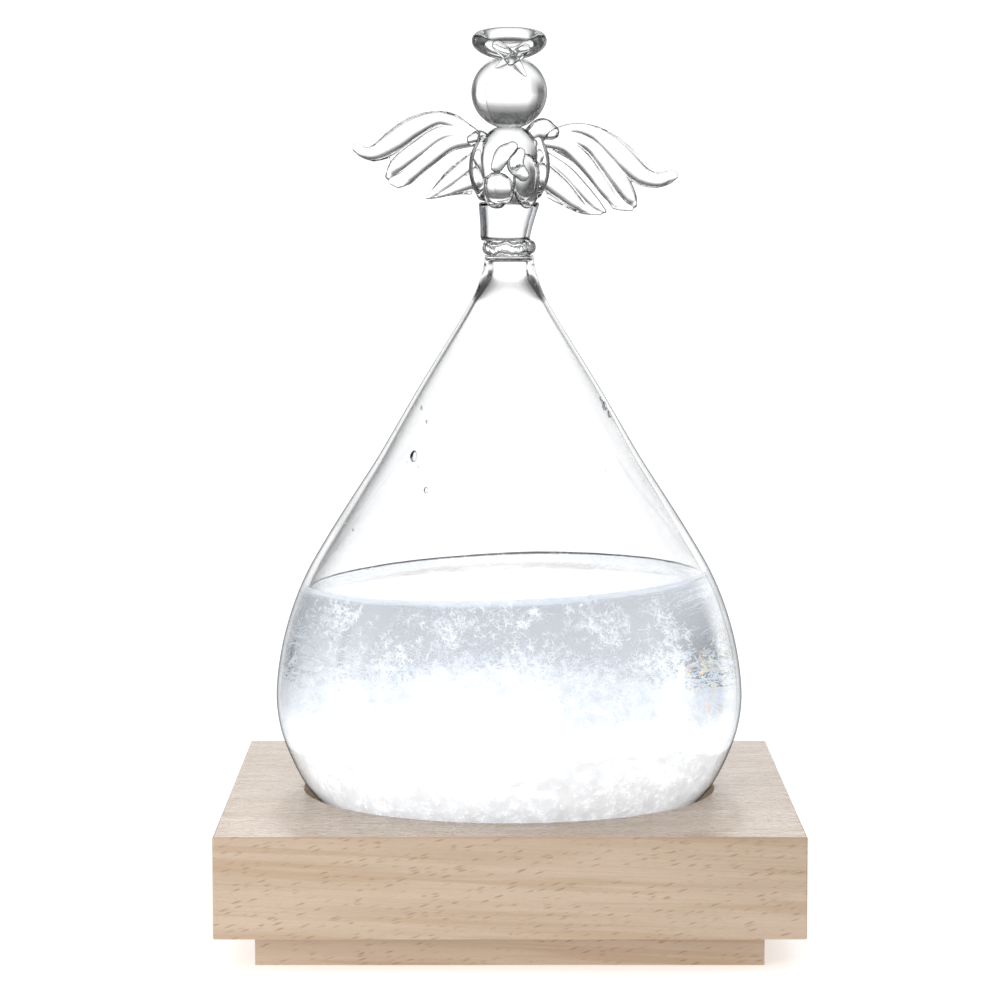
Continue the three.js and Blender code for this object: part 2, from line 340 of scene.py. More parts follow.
def noise_at(tree, vector, scale=1.0, detail=3.0, roughness=0.5, distortion=0.0):
    inputs = {
        "Vector": vector,
        "Scale": scale,
        "Detail": detail,
        "Roughness": roughness,
        "Distortion": distortion,
    }
    return add(tree, "ShaderNodeTexNoise", inputs).outputs["Fac"]


def mixed(tree, factor, a, b, mode="MIX"):
    node = add(tree, "ShaderNodeMix", data_type="RGBA", blend_type=mode)
    for key, value in (("Factor", factor), ("A", a), ("B", b)):
        socket = next(
            s for s in node.inputs if s.name == key and (s.type == "RGBA" or key == "Factor") and s.enabled
        )
        if isinstance(value, bpy.types.NodeSocket):
            tree.links.new(value, socket)
        else:
            socket.default_value = value if isinstance(value, float) else (*value, 1)
    return next(s for s in node.outputs if s.type == "RGBA")


def maths(tree, operation, *values):
    node = add(tree, "ShaderNodeMath", operation=operation)
    for socket, value in zip(node.inputs, values):
        if isinstance(value, bpy.types.NodeSocket):
            tree.links.new(value, socket)
        else:
            socket.default_value = value
    return node.outputs[0]


def remapped(tree, value, low, high, to_low=0.0, to_high=1.0):
    inputs = {"Value": value, "From Min": low, "From Max": high, "To Min": to_low, "To Max": to_high}
    return add(tree, "ShaderNodeMapRange", inputs, interpolation_type="SMOOTHSTEP").outputs["Result"]


def either_ray(tree, one, other):
    """1 for rays of these two kinds, 0 for the rest."""
    path = add(tree, "ShaderNodeLightPath").outputs
    return maths(tree, "MAXIMUM", path[f"Is {one} Ray"], path[f"Is {other} Ray"])


def blend(tree, factor, first, second):
    return add(tree, "ShaderNodeMixShader", {0: factor, 1: first, 2: second}).outputs[0]


def principled(tree, inputs):
    return add(tree, "ShaderNodeBsdfPrincipled", inputs).outputs[0]


def bumped(tree, height, strength, distance):
    inputs = {"Height": height, "Strength": strength, "Distance": distance}
    return add(tree, "ShaderNodeBump", inputs).outputs["Normal"]


def show(tree, surface):
    add(tree, "ShaderNodeOutputMaterial", {"Surface": surface})


def grained(tree, grain, colors, bump, roughness, more):
    """A surface whose colour, bumps and roughness follow one fine noise. Gives it and its colour."""
    height = noise_at(tree, place_mm(tree), *grain)
    color = mixed(tree, remapped(tree, height, 0.3, 0.7), *colors)
    inputs = {
        "Base Color": color,
        "Roughness": remapped(tree, height, 0.3, 0.7, *roughness),
        "Normal": bumped(tree, height, *bump),
        **more,
    }
    return principled(tree, inputs), color


def glass_material(name, ior, rim, rim_span, edge_span, wave, wave_scale, outline=0.26, low_span=None):
    """Glass with painted shade towards its outline: its colour deepens to rim from one facing value to the
    other of rim_span, or of low_span below the liquid's level. Over edge_span it turns into a painted shade
    line as dark as outline. Light for the pieces behind it passes straight, less at the sides."""
    material, tree = new_material(name)
    facing = add(tree, "ShaderNodeLayerWeight", {"Blend": 0.5}).outputs["Facing"]
    # painted shade: the glass's colour darkens towards its outline by facing
    painted_rim_tint = mixed(tree, remapped(tree, facing, *rim_span), CLEAR, rim)
    if low_span:
        height = add(tree, "ShaderNodeSeparateXYZ", {0: place_mm(tree)}).outputs["Z"]
        low = remapped(tree, height, (LEVEL / MM) - 3, (LEVEL / MM) + 1, 1.0, 0.0)
        painted_rim_tint = mixed(tree, low, painted_rim_tint, mixed(tree, remapped(tree, facing, *low_span), CLEAR, rim))
    ripple = noise_at(tree, place_mm(tree, (1, 1, 0.45)), wave_scale, 2.0)
    inputs = {
        "Base Color": painted_rim_tint,
        "Roughness": 0.0,
        "IOR": ior,
        "Transmission Weight": 1.0,
        "Normal": bumped(tree, ripple, wave, 0.002),
    }
    # painted shade: over edge_span the glass becomes a dark line at its outline
    edge = remapped(tree, facing, *edge_span, 0.0, 0.9)
    dark = (outline, outline * 1.04, outline * 1.1)
    shade = ramp(tree, facing, [(0.0, (0.975, 0.98, 0.985)), (0.45, (0.86, 0.87, 0.88)), (1.0, dark)])
    through = add(tree, "ShaderNodeBsdfTransparent", {"Color": shade}).outputs[0]
    straight = maths(tree, "MAXIMUM", either_ray(tree, "Shadow", "Diffuse"), edge)
    show(tree, blend(tree, straight, principled(tree, inputs), through))
    return material


def liquid_material():
    """Clear solution, a little grey through its depth, with painted shade at its sides; near its top that
    shade gives way to a faint grey, and near the bed it fades out.
    """
    material, tree = new_material("camphor_liquid")
    facing = add(tree, "ShaderNodeLayerWeight", {"Blend": 0.5}).outputs["Facing"]
    # painted shade: the liquid darkens at its sides by facing
    greys = [(0.12, CLEAR), (0.21, (0.72, 0.73, 0.75)), (0.285, (0.5, 0.51, 0.53)), (0.36, CLEAR)]
    side = ramp(tree, facing, greys)
    height = add(tree, "ShaderNodeSeparateXYZ", {0: place_mm(tree)}).outputs["Z"]
    at_top = remapped(tree, height, LEVEL / MM - 3.5, LEVEL / MM - 1.5)
    side = mixed(tree, at_top, side, (0.93, 0.935, 0.945))
    at_bed = remapped(tree, height, BED_RIM / MM + 1, BED_RIM / MM + 8, 1.0, 0.0)
    side = mixed(tree, at_bed, side, CLEAR)
    inputs = {"Base Color": side, "Roughness": 0.0, "IOR": LIQUID_IOR, "Transmission Weight": 1.0}
    through = add(tree, "ShaderNodeBsdfTransparent", {"Color": (0.97, 0.975, 0.98, 1)}).outputs[0]
    surface = blend(tree, either_ray(tree, "Shadow", "Diffuse"), principled(tree, inputs), through)
    inside = add(tree, "ShaderNodeVolumeAbsorption", {"Color": (0.27, 0.33, 0.42, 1), "Density": 7.0})
    add(tree, "ShaderNodeOutputMaterial", {"Surface": surface, "Volume": inside.outputs[0]})
    return material


def beech_material(name, seed):
    """Steamed beech with its grain along X: soft streaks, growth bands and short slanting ray flecks."""
    material, tree = new_material(name)
    base = add(tree, "ShaderNodeTexCoord").outputs["Object"]
    moved = add(tree, "ShaderNodeVectorMath", {0: base, 1: (0.11 * seed, 0.07 * seed, 0.05 * seed)})

    def at(grains, slant=2.2):
        """Coordinates turned by the slant, then counted in grains of these sizes in millimetres."""
        inputs = {
            "Vector": moved.outputs[0],
            "Scale": [MM * size for size in grains],
            "Rotation": (0, math.radians(slant), 0),
        }
        return add(tree, "ShaderNodeMapping", inputs, vector_type="TEXTURE").outputs["Vector"]

    streak = noise_at(tree, at((80, 7, 3.4)), 1.0, 5.0, 0.6, 0.6)
    band = noise_at(tree, at((60, 6, 1.9)), 1.0, 2.0, 0.5, 0.4)
    line = noise_at(tree, at((40, 0.9, 0.35)), 1.0, 4.0, 0.65)
    pore = noise_at(tree, at((1.4, 0.16, 0.14)), 1.0, 2.0, 0.6)
    cloud = noise_at(tree, at((45, 30, 20)), 1.0, 2.0)
    bent = noise_at(tree, at((3.0, 2.0, 1.2)), 1.0, 2.0)
    fleck_place = add(tree, "ShaderNodeVectorMath", {0: at((3.0, 1.9, 0.52), -15.0), 1: bent})
    fleck_inputs = {"Vector": fleck_place.outputs[0], "Scale": 1.0, "Randomness": 1.0}
    fleck_cell = add(tree, "ShaderNodeTexVoronoi", fleck_inputs).outputs
    lot = add(tree, "ShaderNodeSeparateColor", {0: fleck_cell["Color"]}).outputs[0]
    near = remapped(tree, fleck_cell["Distance"], 0.1, 0.48, 1.0, 0.0)
    fleck = maths(tree, "MULTIPLY", remapped(tree, lot, 0.4, 0.9), near)

    color = mixed(tree, remapped(tree, streak, 0.3, 0.7), (0.565, 0.442, 0.332), (0.48, 0.362, 0.26))
    color = mixed(tree, remapped(tree, cloud, 0.35, 0.7, 0.0, 0.4), color, (0.62, 0.487, 0.39))
    color = mixed(tree, remapped(tree, band, 0.5, 0.64, 0.0, 0.5), color, (0.43, 0.295, 0.18))
    color = mixed(tree, remapped(tree, line, 0.42, 0.62, 0.0, 0.3), color, (0.45, 0.32, 0.21))
    color = mixed(tree, remapped(tree, pore, 0.5, 0.72, 0.0, 0.2), color, (0.40, 0.28, 0.185))
    color = mixed(tree, maths(tree, "MULTIPLY", fleck, 0.75), color, (0.31, 0.2, 0.12))
    normal = add(tree, "ShaderNodeNewGeometry").outputs["Normal"]
    end_grain = maths(tree, "ABSOLUTE", add(tree, "ShaderNodeSeparateXYZ", {0: normal}).outputs["X"])
    color = mixed(tree, remapped(tree, end_grain, 0.6, 0.95, 0.0, 0.35), color, (0.36, 0.245, 0.155))

    height = maths(tree, "SUBTRACT", maths(tree, "MULTIPLY", line, 0.4), maths(tree, "MULTIPLY", pore, 0.4))
    height = maths(tree, "SUBTRACT", height, maths(tree, "MULTIPLY", fleck, 0.3))
    inputs = {
        "Base Color": color,
        "Roughness": remapped(tree, line, 0.3, 0.7, 0.2, 0.36),
        "IOR": 1.5,
        "Normal": bumped(tree, height, 0.22, 0.0003),
    }
    show(tree, principled(tree, inputs))
    return material


def camphor_material(name, painted_glow_strength, lit_through):
    """White crystal, lit through, brightened by a faint blue painted glow, with a faint blue in its greyer
    grain.
    """
    material, tree = new_material(name)
    whites = ((0.9, 0.915, 0.93), (0.995, 0.997, 1.0))
    # painted glow: emission makes the crystal shine though it is no lamp
    painted_glow = {"Emission Color": (0.975, 0.985, 1.0, 1), "Emission Strength": painted_glow_strength}
    matt, color = grained(tree, (1.6, 3.0, 0.6), whites, (0.3, 0.0003), (0.35, 0.6), painted_glow)
    behind = add(tree, "ShaderNodeBsdfTranslucent", {"Color": color}).outputs[0]
    show(tree, blend(tree, lit_through, matt, behind))
    return material


def painted_glint_material():
    """Crystal plates with painted rainbow glints: pale colours in their base colour that also glow by
    emission.
    """
    material, tree = new_material("camphor_painted_glint")
    hue = noise_at(tree, place_mm(tree), 0.45, 1.0)
    rainbow = [
        (0.0, (1.0, 0.62, 0.5)),
        (0.3, (1.0, 0.88, 0.5)),
        (0.55, (0.62, 0.95, 0.75)),
        (0.8, (0.5, 0.7, 1.0)),
        (1.0, (0.8, 0.6, 1.0)),
    ]
    color = ramp(tree, remapped(tree, hue, 0.3, 0.7), rainbow)
    # painted glints: the rainbow colours also glow by emission
    inputs = {"Base Color": color, "Roughness": 0.2, "Emission Color": color, "Emission Strength": 0.7}
    show(tree, principled(tree, inputs))
    return material


def felt_material():
    material, tree = new_material("wool_felt")
    wools = ((0.66, 0.63, 0.57), (0.84, 0.82, 0.77))
    sheen = {"Sheen Weight": 0.4}
    surface, _ = grained(tree, (3.5, 6.0, 0.7, 1.5), wools, (0.6, 0.0004), (0.8, 0.98), sheen)
    show(tree, surface)
    return material


def steel_material():
    material, tree = new_material("zinc_steel")
    greys = ((0.52, 0.53, 0.55), (0.68, 0.69, 0.70))
    surface, _ = grained(tree, (2.2, 4.0, 0.6), greys, (0.15, 0.0002), (0.25, 0.45), {"Metallic": 1.0})
    show(tree, surface)
    return material


# rim, rim_span, low_span, edge_span and outline set each glass's painted shade at its outline
clear_glass = glass_material(
    "blown_glass",
    GLASS_IOR,
    rim=(0.12, 0.13, 0.14),
    rim_span=(0.64, 0.9),
    edge_span=(0.82, 0.95),
    wave=0.02,
    wave_scale=0.05,
    low_span=(0.62, 0.94),
)
worked_glass = glass_material(
    "worked_glass",
    GLASS_IOR,
    rim=(0.04, 0.045, 0.055),
    rim_span=(0.22, 0.68),
    edge_span=(0.62, 0.9),
    wave=0.06,
    wave_scale=0.25,
    outline=0.1,
)
head_glass = glass_material(
    "head_glass",
    GLASS_IOR,
    rim=(0.05, 0.055, 0.062),
    rim_span=(0.36, 0.74),
    edge_span=(0.7, 0.9),
    wave=0.03,
    wave_scale=0.2,
    outline=0.1,
)
droplet_glass = glass_material(
    "droplet",
    LIQUID_IOR,
    rim=(0.6, 0.61, 0.63),
    rim_span=(0.2, 0.7),
    edge_span=(0.9, 1.0),
    wave=0.02,
    wave_scale=0.2,
)
camphor_liquid = liquid_material()
slab_beech = beech_material("beech_slab", 1.0)
plinth_beech = beech_material("beech_plinth", 3.7)
# the first number is the crystals' painted glow, the second their share lit through
camphor_flake = camphor_material("camphor_flake", 0.55, 0.4)
camphor_mass = camphor_material("camphor_mass", 0.47, 0.15)
# painted rainbow glints for the plates near the right of the wall
glint = painted_glint_material()
felt = felt_material()
steel = steel_material()


# ---- wooden base ----

SHARP_ANGLE = math.radians(40)
FIT_GAP = 0.3 * MM  # between neighbouring pieces, as in the CAD
SCREW_CORE = 1.15 * MM
SCREW_CREST = 1.5 * MM
SCREW_PITCH = 0.75 * MM
SCREW_TURNS = 12
SCREW_HEAD_DEPTH = 2.6 * MM
DRIVE = Vector((0.35, 1.7, 0.9)) * MM  # the cross slot's half width, half length and depth


def box_mesh(low, high):
    verts = [(x, y, z) for z in (low.z, high.z) for y in (low.y, high.y) for x in (low.x, high.x)]
    faces = [(0, 2, 3, 1), (4, 5, 7, 6), (0, 1, 5, 4), (2, 6, 7, 3), (0, 4, 6, 2), (1, 3, 7, 5)]
    return verts, faces


def eased(piece, width, segments=3):
    """Rounds a wooden piece's edges."""
    bevel = piece.modifiers.new("arris", "BEVEL")
    bevel.width = width
    bevel.segments = segments
    bevel.limit_method = "ANGLE"
    bevel.angle_limit = math.radians(35)
    apply_modifiers(piece)
    piece.data.shade_smooth()
    piece.data.set_sharp_from_angle(angle=SHARP_ANGLE)


def cut(piece, cutter):
    """Takes the cutter's shape out of a piece."""
    boolean = piece.modifiers.new("cut", "BOOLEAN")
    boolean.operation = "DIFFERENCE"
    boolean.solver = "EXACT"
    boolean.object = cutter
    apply_modifiers(piece)
    bpy.data.objects.remove(cutter)


def make_base():
    slab = new_object("beech_slab", *box_mesh(slab_low, slab_high), smooth=False)
    radius = max(r for r, z in wall_rings("base_slab", False) if z > BASE_TOP - MM)
    floor = seat_low.z - FIT_GAP
    recess = lathe("recess", [(0, floor), (radius, floor), (radius, 2 * BASE_TOP), (0, 2 * BASE_TOP)])
    cut(slab, recess)
    eased(slab, 0.35 * MM)
    finish_piece(slab, "base", "beech", slab_beech, "base_slab")

    plinth = new_object("beech_plinth", *box_mesh(plinth_low, plinth_high), smooth=False)
    for k in range(4):
        low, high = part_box(f"plinth_screw_{k + 1}")
        radius = (high.x - low.x) / 2 + FIT_GAP
        outline = [(0, -MM), (radius, -MM), (radius, low.z + 0.9 * MM), (0, low.z + 2.8 * MM)]
        mouth = lathe("mouth", outline, 48)
        mouth.data.transform(Matrix.Translation(((low.x + high.x) / 2, (low.y + high.y) / 2, 0)))
        cut(plinth, mouth)
    eased(plinth, 0.25 * MM)
    finish_piece(plinth, "base", "beech", plinth_beech, "base_plinth")


def make_screws():
    for k in range(4):
        low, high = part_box(f"plinth_screw_{k + 1}")
        x, y = (low.x + high.x) / 2, (low.y + high.y) / 2
        head = (high.x - low.x) / 2
        profile = [
            (0, low.z + 0.4 * MM),
            (0.9 * MM, low.z),
            (head, low.z),
            (head, low.z + 0.25 * MM),
            (SCREW_CREST, low.z + SCREW_HEAD_DEPTH),
        ]
        for turn in range(SCREW_TURNS):
            z = low.z + SCREW_HEAD_DEPTH + 0.4 * MM + SCREW_PITCH * turn
            profile += [(SCREW_CORE, z), (SCREW_CREST, z + 0.35 * MM)]
        profile += [(0, high.z)]
        screw = lathe(f"wood_screw_{k + 1}", profile, 32)
        screw.data.transform(Matrix.Translation((x, y, 0)))
        for turn in (0, math.pi / 2):
            slot_low = Vector((-DRIVE.x, -DRIVE.y, -MM))
            cutter = new_object("slot", *box_mesh(slot_low, DRIVE), smooth=False)
            move = Matrix.Translation((x, y, low.z))
            cutter.data.transform(move @ Matrix.Rotation(turn + 0.4 * k, 4, "Z"))
            cut(screw, cutter)
        screw.data.set_sharp_from_angle(angle=SHARP_ANGLE)
        finish_piece(screw, "base", "steel", steel, f"plinth_screw_{k + 1}")


def make_seat():
    inner = 6 * MM
    outer = (seat_high.x - seat_low.x) / 2
    rings = [(inner, seat_low.z), (outer, seat_low.z), (outer, seat_high.z), (inner, seat_high.z)]
    seat = lathe("felt_washer", rings + rings[:1], 120)
    eased(seat, 0.3 * MM, 2)
    finish_piece(seat, "seat", "felt", felt, "seat_disc")


# ---- bulb and what it holds ----

WALL_RINGS = 150
NECK_END = bulb_high.z - 0.7 * MM
FILL_HOLE = 3 * MM
BLOWN_WALL = 0.95 * MM  # measured level, above the liquid, where the bulb was blown thinner
THINNING = [LEVEL + 10 * MM, LEVEL + 34 * MM, NECK_END - 9 * MM, NECK_END - 3 * MM]

outer_wall = catmull(wall_rings("bulb", True), WALL_RINGS)


def outer_radius(z):
    return float(np.interp(z, outer_wall[:, 1], outer_wall[:, 0]))


def blown_inner_wall():
    """The CAD's inner wall without its filling hole, rounded off in the neck, thinned above the liquid."""
    rings = []
    for radius, z in wall_rings("bulb", False):
        in_hole = radius <= FILL_HOLE + 0.5 * MM and z <= LEVEL
        if not in_hole and z < bulb_high.z - 8 * MM:
            rings.append((radius, z))
    rings.append((3.95 * MM, bulb_high.z - 5 * MM))
    rings.append((3.7 * MM, NECK_END - 0.8 * MM))
    rings.append((3.1 * MM, NECK_END - 0.15 * MM))
    wall = catmull(rings, WALL_RINGS)
    for ring in wall:
        thinned = np.interp(ring[1], THINNING, [0, 1, 1, 0])
        ring[0] += thinned * (outer_radius(ring[1]) - BLOWN_WALL - ring[0])
    return wall


inner_wall = blown_inner_wall()


def inner_radius(z):
    return float(np.interp(z, inner_wall[:, 1], inner_wall[:, 0]))


def make_bulb():
    profile = [(FILL_HOLE, FOOT), (outer_wall[0][0] - 1.5 * MM, FOOT)]
    profile += [tuple(p) for p in outer_wall]
    profile += [(0, bulb_high.z), (0, NECK_END)]
    profile += [tuple(p) for p in inner_wall[::-1]]
    profile += [(FILL_HOLE, inner_wall[0][1]), (FILL_HOLE, FOOT)]
    bulb = lathe("blown_bulb", profile, 180)
    finish_piece(bulb, "glass", "clear_glass", clear_glass, "bulb")

    low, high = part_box("fill_plug")
    radius = (high.x - low.x) / 2
    outline = [(0, low.z), (radius * 0.8, low.z + 0.05 * MM), (radius, low.z + 0.4 * MM)]
    outline += [(radius, high.z), (0, high.z)]
    seal = lathe("glass_seal", outline, 48)
    finish_piece(seal, "glass", "clear_glass", clear_glass, "fill_plug")


MENISCUS_RISE = 0.3 * MM
MENISCUS_REACH = 1.2 * MM
INTO_WALL = 0.3 * MM  # the liquid's skin lies in the glass, so that no film of air shows between them
TILT_DEPTH = 10 * MM  # the liquid's sides stretch and shrink over this depth to follow its tilted top


def make_liquid():
    """The liquid, with its meniscus, tilted about its middle."""
    side = [(r + INTO_WALL, z) for r, z in inner_wall if z < LEVEL - 0.5 * MM]
    edge = inner_radius(LEVEL)
    surface = []
    for share in np.linspace(1, 0, 12):
        rise = MENISCUS_RISE * math.exp(-4 * (1 - share))
        reach = edge - MENISCUS_REACH * (1 - share)
        top = LEVEL + rise
        surface.append((inner_radius(top) + INTO_WALL if share == 1 else reach, top))
    bottom = side[0][1] - INTO_WALL
    profile = [(0, bottom), (side[0][0] * 0.97, bottom)] + side + surface + [(0, LEVEL)]
    liquid = lathe("camphor_solution", profile, 180)
    for vertex in liquid.data.vertices:
        place = vertex.co
        radius = math.hypot(place.x, place.y)
        share = max(0.0, 1 - (LEVEL - place.z) / TILT_DEPTH)
        if share == 0 or radius < MM:
            continue
        z = place.z + (level_at(place.x) - LEVEL) * min(share, 1.0)
        fit = inner_radius(z) / inner_radius(place.z)
        vertex.co = (place.x * fit, place.y * fit, z)
    finish_piece(liquid, "glass", "solution", camphor_liquid, "solution")


BED_GAP = 0.6 * MM
BED_REACH = inner_radius(BED_RIM) - BED_GAP
FLAKE_HALF_LENGTHS = (0.25 * MM, 0.8 * MM)
FLAKE_HALF_WIDTHS = (0.045 * MM, 0.09 * MM)
PATCH_SIZE = 9 * MM
PATCH_GRAIN = 1.6 * MM
PATCH_THRESHOLD = 0.36
PATCH_SHARPNESS = 12.0
CROWDING_DOWN = 0.4
CROWDING_LEFT = 0.1
FEATHER_TUFTS = 11500
CRUST_TUFTS = 4500
WALL_TUFTS = 7000
FLOATING_TUFTS = 1500
GLINT_TUFTS = 420
NEAR_WALL_SHARE = 0.8  # of the feathers


def crystal_share(x, y, z):
    """How likely a crystal is at a place in the liquid: in ragged patches, larger ones further down."""
    depth = (level_at(x) - z) / (LEVEL - BED_RIM)
    place = Vector((x, y, z))
    patch = noise.fractal(place / PATCH_SIZE, 0.9, 2.0, 4) + 0.25 * noise.noise(place / PATCH_GRAIN)
    lean = CROWDING_LEFT * (-x / (50 * MM))
    return PATCH_SHARPNESS * (patch - PATCH_THRESHOLD + CROWDING_DOWN * depth + lean)


def unit_vectors(random, count):
    made = random.normal(size=(count, 3))
    return made / np.linalg.norm(made, axis=1)[:, None]


def add_tuft(random, verts, faces, centre, count):
    """A few flat needles that grow from one point."""
    alongs = unit_vectors(random, count)
    acrosses = np.cross(alongs, unit_vectors(random, count))
    acrosses /= np.linalg.norm(acrosses, axis=1)[:, None]
    for along, across in zip(alongs, acrosses):
        long = along * random.uniform(*FLAKE_HALF_LENGTHS)
        wide = across * random.uniform(*FLAKE_HALF_WIDTHS)
        middle = centre + long * 0.8
        start = len(verts)
        verts.extend([middle - long, middle + wide, middle + long, middle - wide])
        faces.append((start, start + 1, start + 2, start + 3))


def on_bed(x, y):
    """Height of the bed's top, before its lumps."""
    share = min(1.0, math.hypot(x, y) / BED_REACH)
    return BED_RIM + (BED_CROWN - BED_RIM) * 0.5 * (1 + math.cos(math.pi * share))


def around_axis(radius, angle, z):
    return np.array((radius * math.cos(angle), radius * math.sin(angle), z))


def feather_tufts(random):
    """Places of the ragged patches in the liquid, most of them near the wall, with each tuft's needles."""
    made = 0
    while made < FEATHER_TUFTS:
        z = random.uniform(BED_RIM - 8 * MM, LEVEL + 1 * MM)
        limit = inner_radius(z) - 0.7 * MM
        share = random.uniform(0, 1)
        crowding = 0.03 if random.uniform() < NEAR_WALL_SHARE else 0.4
        place = around_axis(limit * share**crowding, random.uniform(0, 2 * math.pi), z)
        if z > level_at(place[0]) - 0.4 * MM or random.uniform() > crystal_share(*place):
            continue
        made += 1
        yield place, random.integers(4, 9)


def crust_tufts(random):
    """Places on the bed, then along the wall beside it, with each tuft's needles."""
    for _ in range(CRUST_TUFTS):
        radius = BED_REACH * math.sqrt(random.uniform(0, 1))
        place = around_axis(radius, random.uniform(0, 2 * math.pi), 0)
        lift = random.exponential(1.6 * MM)
        place[2] = min(on_bed(place[0], place[1]) + lift, LEVEL - 4 * MM)
        if radius < inner_radius(place[2]) - MM:
            yield place, random.integers(5, 9)
    for _ in range(WALL_TUFTS):
        z = random.uniform(inner_wall[0][1] + MM, BED_RIM + 5 * MM)
        radius = inner_radius(z) - random.uniform(0.4, 1.1) * MM
        yield around_axis(radius, random.uniform(0, 2 * math.pi), z), random.integers(4, 8)


def floating_tufts(random):
    """Places of specks just under the liquid's top, crowded at its edge, with each tuft's needles."""
    edge = inner_radius(LEVEL)
    for _ in range(FLOATING_TUFTS):
        angle = random.uniform(0, 2 * math.pi)
        radius = edge * (1 - random.exponential(0.07)) - 0.8 * MM
        bare = noise.noise(Vector((math.cos(angle), math.sin(angle), 0.3)) * 4) < -0.15
        if bare or radius < 0:
            continue
        place = around_axis(radius, angle, 0)
        place[2] = level_at(place[0]) - 0.5 * MM
        yield place, random.integers(1, 4)


def glint_tufts(random):
    """Places of the plates near the right of the wall, with each tuft's plates."""
    for _ in range(GLINT_TUFTS):
        z = random.normal((BED_RIM + LEVEL) / 2 - 3 * MM, 5 * MM)
        angle = random.normal(-0.42, 0.16)
        radius = inner_radius(z) - random.uniform(0.5, 1.5) * MM
        yield around_axis(radius, angle, z), random.integers(2, 5)


def make_crystals():
    random = np.random.default_rng(7)
    kinds = [
        ("camphor_feathers", feather_tufts, camphor_flake, False),
        ("camphor_crust", crust_tufts, camphor_flake, False),
        ("floating_camphor", floating_tufts, camphor_flake, True),
        ("camphor_glints", glint_tufts, glint, True),
    ]
    for name, tufts, material, casts_shadow in kinds:
        verts, faces = [], []
        for centre, count in tufts(random):
            add_tuft(random, verts, faces, centre, count)
        crystals = new_object(name, verts, faces, smooth=False)
        crystals.visible_shadow = casts_shadow
        finish_piece(crystals, "glass", "camphor", material)


def make_bed():
    """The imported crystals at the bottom, a lumpy white mound."""
    wall = [(r - BED_GAP, z) for r, z in inner_wall if z < BED_RIM]
    top = [(BED_REACH * share, on_bed(BED_REACH * share, 0)) for share in np.linspace(1, 0, 44)]
    bed = lathe("camphor_bed", [(0, wall[0][1])] + wall + top, 200)
    for vertex in bed.data.vertices:
        place = vertex.co.copy()
        lump = noise.fractal(place / (5 * MM), 0.9, 2.0, 5)
        inwards = Vector((-place.x, -place.y, 0)).normalized()
        rise = max(0.0, (place.z - bed_low.z) / (bed_high.z - bed_low.z))
        vertex.co = place + inwards * (0.5 + 0.5 * lump) * 1.2 * MM + Vector((0, 0, lump * 2.6 * MM * rise))
    finish_piece(bed, "glass", "camphor", camphor_mass, "crystal_bed")


# the largest drops, in millimetres: place beside the axis, height and size
DROPS = [(-20.0, 101.0, 1.2), (-17.3, 94.5, 0.65), (-18.4, 110.7, 0.45), (-17.3, 108.1, 0.4)]
SMALL_DROPS = 14
DROP_STRETCH = (0.45, 0.8, 1.15)
# the seed bubble's three beads, in millimetres: height and size
SEED_BEADS = [(112.4, 0.6), (111.0, 0.9), (109.2, 0.75)]
SEED_STRETCH = (0.75, 0.8, 1.2)
SEED_TURN = math.radians(-17)


def drop_mesh(turn, z, size):
    """A drop at a turn about the axis, flattened against the inner wall. Height and size in millimetres."""
    radius = inner_radius(z * MM) - 0.15 * MM
    c, s = math.cos(turn), math.sin(turn)
    verts, faces = ball_mesh((0, 0, 0), size * MM, DROP_STRETCH, 10, 16)
    placed = []
    for depth, across, up in verts:
        reach = radius - depth
        placed.append((reach * c - across * s, reach * s + across * c, z * MM + up))
    return placed, faces


def make_droplets():
    """Drops left on the inner wall above the liquid, and a seed bubble drawn out in the wall."""
    random = np.random.default_rng(11)
    drops = [(-math.acos(x * MM / inner_radius(z * MM)), z, size) for x, z, size in DROPS]
    for _ in range(SMALL_DROPS):
        turn = random.uniform(-math.pi, math.pi)
        z = random.uniform(80, 118)
        drops.append((turn, z, random.uniform(0.15, 0.35)))
    droplets = joined("wall_droplets", [drop_mesh(*drop) for drop in drops])
    finish_piece(droplets, "glass", "solution", droplet_glass)

    seeds = []
    for z, size in SEED_BEADS:
        radius = outer_radius(z * MM) - 0.55 * MM
        centre = (radius * math.cos(SEED_TURN), radius * math.sin(SEED_TURN), z * MM)
        seeds.append(ball_mesh(centre, size * MM, SEED_STRETCH, 14, 20))
    finish_piece(joined("seed_bubbles", seeds), "glass", "clear_glass", worked_glass)


# ---- angel ----

WELD = 0.4 * MM  # how far neighbouring glass pieces run into each other where they are fused
FEATHER_DEPTH_SHARE = 0.76
PANE_DEPTH_SHARE = 0.42
ARM_DEPTH_AXIS = (0.3, 1, 0.2)
COLLAR_LUMPS = 22
GOWN_LEAN = 0.9 * MM


def in_figure(x, z, y):
    """A place on the angel, from millimetres beside the axis, above the base's top and behind the axis."""
    return (x * MM, y * MM, BASE_TOP + z * MM)


def finish_worked(piece, node):
    finish_piece(piece, "glass", "clear_glass", worked_glass, node)


def feather(points, widths, y):
    """One ridge of a wing, through points beside the axis, above the base's top and behind y."""
    spine = [in_figure(x, z, y + dy) for x, z, dy in points]
    return limb_mesh(spine, [w * MM for w in widths], FEATHER_DEPTH_SHARE)


def pane(node):
    """A wing's flat board, thinned about its middle."""
    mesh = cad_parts[node].data
    low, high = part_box(node)
    middle = (low.y + high.y) / 2
    verts = [(v.co.x, middle + (v.co.y - middle) * PANE_DEPTH_SHARE, v.co.z) for v in mesh.vertices]
    return verts, [tuple(p.vertices) for p in mesh.polygons]


